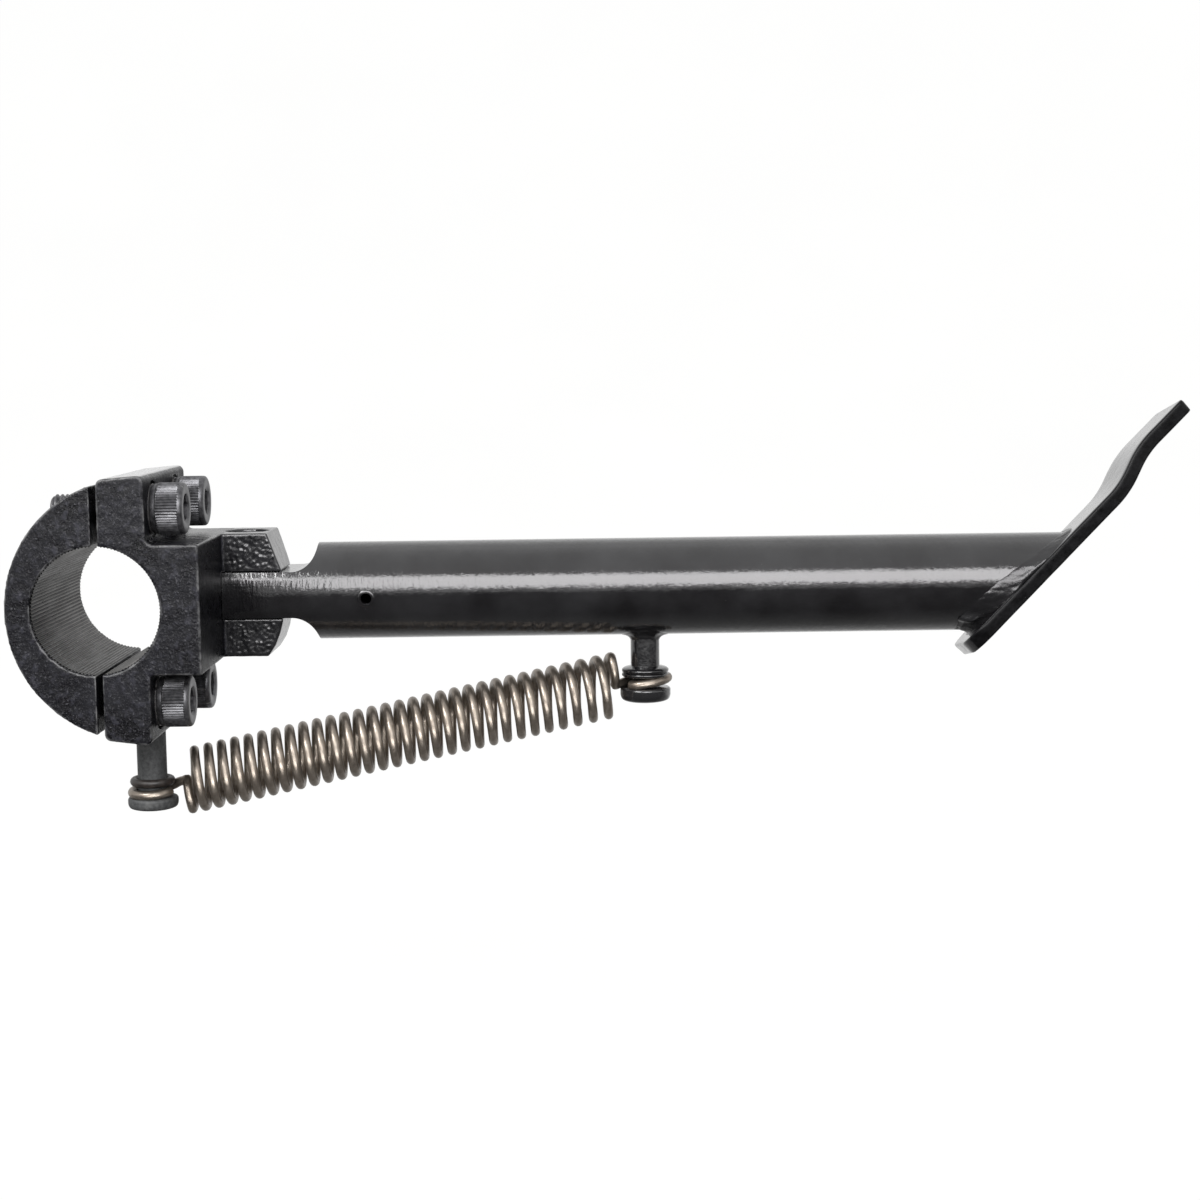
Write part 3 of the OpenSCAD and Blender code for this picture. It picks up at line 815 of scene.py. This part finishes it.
def build_plate():
    P = plate_path()
    S = [0.0]
    for a, b in zip(P, P[1:]):
        S.append(S[-1] + float(np.linalg.norm(b - a)))
    L = S[-1]
    nose, tip, w, rr = 7.0, 1.6, 12.7, 0.6
    want = sorted(set([0.0, 0.1, 0.3, 0.6, 1.0, 1.5, 2.1, 2.8, 3.6, 4.5, 5.5, 6.4, 7.0, 8.0] + [q for q in S if 8.5 < q < L - 2.5]
                      + [L - q for q in (0.0, 0.08, 0.2, 0.4, 0.7, 1.1, 1.6, 2.2)]))
    verts, cols, side = [], 0, []
    for s in want:
        i = min(len(S) - 2, max(0, int(np.searchsorted(S, s)) - 1))
        k = (s - S[i]) / (S[i + 1] - S[i])
        c = P[i] + (P[i + 1] - P[i]) * k
        i0, i1 = max(0, i - 1), min(len(P) - 1, i + 2)
        d = P[i1] - P[i0]
        d /= np.linalg.norm(d)
        nrm = np.array([-d[1], d[0]])
        R, e = (nose, s) if s < L / 2 else (tip, L - s)
        hw = w if e >= R else w - R + math.sqrt(max(0.0, R * R - (R - e) ** 2))
        soft = 0.6
        th = PLATE_T / 2 - (soft * (1 - math.sqrt(max(0.0, 1 - (1 - min(1.0, e / soft)) ** 2))) if e < soft else 0)
        sec = []
        for qy, qz, a0 in ((1, 1, 0), (-1, 1, 90), (-1, -1, 180), (1, -1, 270)):
            for m in range(5):
                a = math.radians(a0 + 90 * m / 4)
                lean = 0.15 if qz > 0 else -0.55
                sec.append((qy * (hw - rr + lean) + rr * math.cos(a), qz * max(0.05, th - rr) + min(rr, th) * math.sin(a)))
        full = []
        for k, (a, b) in enumerate(zip(sec, sec[1:] + sec[:1])):
            full.append(a)
            cuts = {4: 12, 9: 4, 14: 12, 19: 4}.get(k, 1)
            for m in range(1, cuts):
                full.append((a[0] + (b[0] - a[0]) * m / cuts, a[1] + (b[1] - a[1]) * m / cuts))
        cols = len(full)
        for y, h in full:
            dip = 0.05 * noise.noise(Vector((s * 0.10, y * 0.15, 1.0))) + 0.015 * noise.noise(Vector((s * 0.5, y * 0.5, h)))
            q = c + nrm * (h + dip)
            edge_wave = 0.05 * noise.noise(Vector((s * 0.25, h, 4.0))) * (1 if abs(y) > 11 else 0)
            verts.append(leg_point(q[0], y + edge_wave, q[1]))
    faces = grid_faces(len(want), cols)
    for base in (0, (len(want) - 1) * cols):
        mid = [base + j for j in range(cols)]
        faces.append(tuple(mid if base else mid[::-1]))
    return verts, faces


v, f = build_plate()
plate = add("foot_plate_bent", v, f, [M_GLOSS, M_EDGE_SHADED], "leg", angle=55)
across = Vector((0, math.cos(TWIST), math.sin(TWIST)))
# painted shade: the faces across the plate's width take the darker edge black
for poly in plate.data.polygons:
    if abs(poly.normal.dot(across)) > 0.6:
        poly.material_index = 1
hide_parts("foot_plate")

# weld between the leg's cut end and the plate: a broad, uneven fillet, painted over
FOOT_S = B1[0] - B1[1] - PLATE_T * math.sqrt(2)
n, rows = 400, 12
KEY = [0, 25, 55, 85, 115, 145, 165, 185, 210, 240, 280, 320, 360]
UPTO = [1.0, 2.2, 4.6, 7.2, 7.8, 6.0, 3.6, 2.6, 3.2, 5.0, 6.0, 3.0, 1.0]
OUT = [1.6, 1.4, 1.0, 0.5, 0.6, 1.2, 2.0, 2.4, 2.0, 1.2, 0.6, 1.2, 1.6]
verts = []
for i in range(n):
    a = 2 * math.pi * i / n
    deg = math.degrees(a)
    y, z = -12.7 * math.sin(a), 12.7 * math.cos(a)
    ct, st = math.cos(-TWIST), math.sin(-TWIST)
    yy, zz = y * ct - z * st, y * st + z * ct
    c = np.array([FOOT_S + zz, yy, zz])
    rho = np.array([0, yy, zz]) / 12.7
    o = np.array([zz, yy, zz])
    o /= np.linalg.norm(o)
    loop = Vector((math.cos(a) * 2.2, math.sin(a) * 2.2, 0.0))
    fine = Vector((math.cos(a) * 9.0, math.sin(a) * 9.0, 5.0))
    w1 = np.interp(deg, KEY, UPTO) * (1 + 0.16 * noise.noise(loop) + 0.10 * noise.noise(fine))
    w2 = np.interp(deg, KEY, OUT) * (1 + 0.15 * noise.noise(loop + Vector((0, 0, 3))))
    if abs(o[1]) > 1e-3:
        w2 = min(w2, max(0.08, (12.78 - abs(yy)) / abs(o[1])))
    blob = math.exp(-((deg - 131) / 5.5) ** 2)
    t0 = c + np.array([-w1 - 1.0 * blob, 0, 0]) - rho * 0.06
    p0 = c + o * w2 - np.array([-math.sin(math.radians(45)), 0, math.cos(math.radians(45))]) * 0.06
    bulge = 0.75 + 0.35 * noise.noise(loop * 1.7 + Vector((0, 0, 9)))
    k0 = c + rho * bulge + np.array([-0.12 * w1, 0, 0])
    for r in range(rows):
        t = r / (rows - 1)
        q = (1 - t) ** 2 * t0 + 2 * t * (1 - t) * k0 + t * t * p0
        ripple = (0.22 * noise.noise(fine * 0.6 + Vector((0, 0, t * 2))) + 0.10 * noise.noise(fine * 1.6 + Vector((2, 0, t * 4)))) * math.sin(math.pi * t)
        q = q + rho * (ripple + 1.15 * blob * math.exp(-((t - 0.22) / 0.2) ** 2) + (0.10 * math.exp(-((t - 0.10) / 0.07) ** 2)))
        verts.append(leg_point(*q))
    inner = c - rho * 1.5 + np.array([-0.6, 0, 0])
    verts.append(leg_point(*inner))
cols = rows + 1
faces = [(i * cols + j, i * cols + (j + 1) % cols, ((i + 1) % n) * cols + (j + 1) % cols, ((i + 1) % n) * cols + j)
         for i in range(n) for j in range(cols)]
o = add("foot_weld_bead", verts, faces, M_FOOTWELD, "leg", angle=70)
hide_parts("foot_weld")

# ------------------------------------------------------------------ return spring
P0, P1 = np.array([15.6, 1.1, -47.6]), np.array([127.2, 15.1, -25.9])
WIRE, COIL_R, CRESTS, SKEW = 2.4, 7.45, 31, 1.9
AX = P1 - P0
AX_LEN = float(np.linalg.norm(AX))
AZ = math.atan2(AX[1], AX[0])
POL = math.acos(AX[2] / AX_LEN)
PITCH = (AX_LEN - SKEW) / (CRESTS - 0.5)


def carry(x, y, z):
    x1, z1 = x * math.cos(POL) + z * math.sin(POL), -x * math.sin(POL) + z * math.cos(POL)
    return P0 + np.array([x1 * math.cos(AZ) - y * math.sin(AZ), x1 * math.sin(AZ) + y * math.cos(AZ), z1])


def coil(f):
    """Point on the helix f degrees from its start. The coils sit closer near the clamp and open up at the leg's end."""
    a, t = math.radians(f), f / 360
    t += float(np.interp(t, (0, 1, 4, 8, 12, 18, 22, 26, 27, 28, 29, 30, 30.5), (0, -0.02, -0.19, -0.28, -0.345, -0.41, -0.39, -0.35, -0.31, -0.24, -0.12, 0, 0)))
    return carry(COIL_R * math.cos(a), COIL_R * math.sin(a), PITCH * t + SKEW * (1 - math.cos(a)) / 2)


def eye(c, r, a, z, tilt, phase):
    return np.array([c[0] + r * math.cos(a), c[1] + r * math.sin(a), z + tilt * math.cos(a - phase)])


RA, RB = 3.75 + 0.25 + 1.2, 3.85 + 0.12 + 1.2
END_A, END_B = carry(-0.5, 0.3, 0.25), carry(0.2, 0.2, AX_LEN - 0.4)
dA, dB = END_A[:2] - POST_A, END_B[:2] - POST_B
TA = math.atan2(dA[1], dA[0]) + math.acos(RA / np.linalg.norm(dA))
TB = math.atan2(dB[1], dB[0]) - math.acos(RB / np.linalg.norm(dB))
F_END = (CRESTS - 1) * 360 + 180


def out_of(start, end, k, z):
    """Point a share k of the way from start to end in plan, at height z."""
    q = start + (end - start) * k
    return np.array([q[0], q[1], z])


path = [eye(POST_A, RA, TA + math.radians(a), -49.65, 0.4, math.radians(50)) for a in range(276, -1, -12)]
here = path[-1]
path += [out_of(here, END_A, 0.30, -49.1), out_of(here, END_A, 0.62, -48.0), out_of(here, END_A, 0.86, -47.5), END_A]
for f, r in ((-60, 0.10), (-46, 0.32), (-33, 0.56), (-21, 0.78), (-10, 0.94)):
    path.append(carry(COIL_R * r * math.cos(math.radians(f)), COIL_R * r * math.sin(math.radians(f)), 0.25 * (1 - r)))
path += [coil(f) for f in range(0, F_END + 1, 20)]
for f, r in ((10, 0.94), (21, 0.78), (33, 0.56), (46, 0.32), (60, 0.10)):
    g = math.radians(F_END + f)
    path.append(carry(COIL_R * r * math.cos(g), COIL_R * r * math.sin(g), AX_LEN - 0.4 * (1 - r)))
first_b = eye(POST_B, RB, TB, -25.1, 0.85, math.radians(15))
path += [END_B, out_of(first_b, END_B, 0.8, END_B[2] * 0.8 + first_b[2] * 0.2), out_of(first_b, END_B, 0.35, END_B[2] * 0.2 + first_b[2] * 0.8)]
for a in range(0, 277, 12):
    g = TB - math.radians(a)
    path.append(eye(POST_B, RB, g, -25.1, 0.85, math.radians(15)) + np.array([0.75 * max(0.0, math.cos(g)), 0, 0]))
v, f = sweep(smooth_path(path, 0.62), WIRE / 2, 14, 0.22)
spring = add("return_spring_wound", v, f, M_SPRING, "spring", angle=60)
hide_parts("return_spring")
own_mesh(spring)

# ------------------------------------------------------------------ floor, light, camera
def backdrop():
    """Pale floor that rises smoothly into a wall behind; dark to the reflections in front of the part, as a flag would make it."""
    prof = [(-3.0, 0.0), (1.2, 0.0)] + [(1.2 + 0.9 * math.sin(t), 0.9 - 0.9 * math.cos(t)) for t in np.linspace(0, math.pi / 2, 14)[1:]] + [(2.1, 3.5)]
    verts = [(x, y, z - 0.16) for y, z in prof for x in (-4.0, 4.3)]
    faces = [(2 * i, 2 * i + 1, 2 * i + 3, 2 * i + 2) for i in range(len(prof) - 1)]
    mesh = bpy.data.meshes.new("floor")
    mesh.from_pydata(verts, [], faces)
    for p in mesh.polygons:
        p.use_smooth = True
    o = bpy.data.objects.new("floor", mesh)
    bpy.context.scene.collection.objects.link(o)
    m = Mat("floor_pale")
    grain = m.noise(7, 3)
    seen = m.node("ShaderNodeLightPath").outputs["Is Camera Ray"]
    where = m.node("ShaderNodeSeparateXYZ", Vector=m.co).outputs[1]
    behind = m.ramp(m.math("ADD", where, 0.5), (0.42, 0.03), (0.86, 0.80))
    glow = m.mix(seen, behind, m.mix(grain, (0.965, 0.965, 0.96), (0.985, 0.985, 0.982)))
    m.set(Base_Color=(0.02, 0.02, 0.02), Roughness=0.9, Specular_IOR_Level=0.05, Emission_Color=glow, Emission_Strength=1.0)
    mesh.materials.append(m.m)


backdrop()


def area(name, loc, target, size, size_y, power, color=(1, 1, 1)):
    l = bpy.data.lights.new(name, "AREA")
    l.shape = "RECTANGLE"
    l.size, l.size_y, l.energy, l.color = size, size_y, power, color
    o = bpy.data.objects.new(name, l)
    o.location = loc
    o.rotation_euler = (Vector(target) - Vector(loc)).to_track_quat("-Z", "Y").to_euler()
    bpy.context.scene.collection.objects.link(o)
    return o


def only(light, name, state):
    """Light linking: the light takes or leaves out the spring."""
    c = bpy.data.collections.new(name)
    c.objects.link(spring)
    light.light_linking.receiver_collection = c
    c.collection_objects[0].light_linking.link_state = state


key = area("softbox_front", (0.235, -1.0, 0.42), (0.235, 0.0, 0.0), 0.84, 0.58, 11.0, (1.0, 0.985, 1.0))
only(key, "all_but_spring", "EXCLUDE")
only(area("softbox_spring", (0.235, -1.0, 0.42), (0.235, 0.0, 0.0), 0.84, 0.58, 5.6), "spring_a", "INCLUDE")
only(area("spring_low", (0.09, -0.30, -0.135), (0.07, 0.0, -0.04), 0.42, 0.14, 1.7), "spring_b", "INCLUDE")

area("softbox_clamp", (-0.22, -0.42, 0.34), (0.0, 0.0, 0.01), 0.22, 0.22, 3.0)

world = bpy.data.worlds.new("studio")
world.use_nodes = True
bpy.context.scene.world = world
world.node_tree.nodes["Background"].inputs[0].default_value = (1.0, 1.0, 1.0, 1)
world.node_tree.nodes["Background"].inputs[1].default_value = 0.95
seen = world.node_tree.nodes.new("ShaderNodeLightPath").outputs["Is Camera Ray"]
lift = world.node_tree.nodes.new("ShaderNodeMath")
lift.operation = "MULTIPLY_ADD"
lift.inputs[1].default_value, lift.inputs[2].default_value = 0.027, 0.95
world.node_tree.links.new(seen, lift.inputs[0])
world.node_tree.links.new(lift.outputs[0], world.node_tree.nodes["Background"].inputs[1])

CAM = Vector((0.1238954, -0.5435797, 0.0600791))
YAW, PITCH_C, ROLL, F_PX = -0.0014, 0.1133, -0.0136, 2140.26
fwd = Vector((math.sin(YAW) * math.cos(PITCH_C), math.cos(YAW) * math.cos(PITCH_C), -math.sin(PITCH_C)))
right = Vector((fwd.y, -fwd.x, 0)).normalized()
up = right.cross(fwd)
r2 = math.cos(ROLL) * right + math.sin(ROLL) * up
u2 = -math.sin(ROLL) * right + math.cos(ROLL) * up
cam = bpy.data.cameras.new("camera")
cam.sensor_width = 36
cam.lens = 36 * F_PX / 1200
cam.clip_start = 0.01
co = bpy.data.objects.new("camera", cam)
m = Matrix((r2, u2, -fwd)).transposed().to_4x4()
m.translation = CAM
co.matrix_world = m
bpy.context.scene.collection.objects.link(co)
bpy.context.scene.camera = co

vs = bpy.context.scene.view_settings
vs.view_transform = "Standard"
vs.look = "None"
vs.exposure = 0.0

bpy.context.view_layer.update()
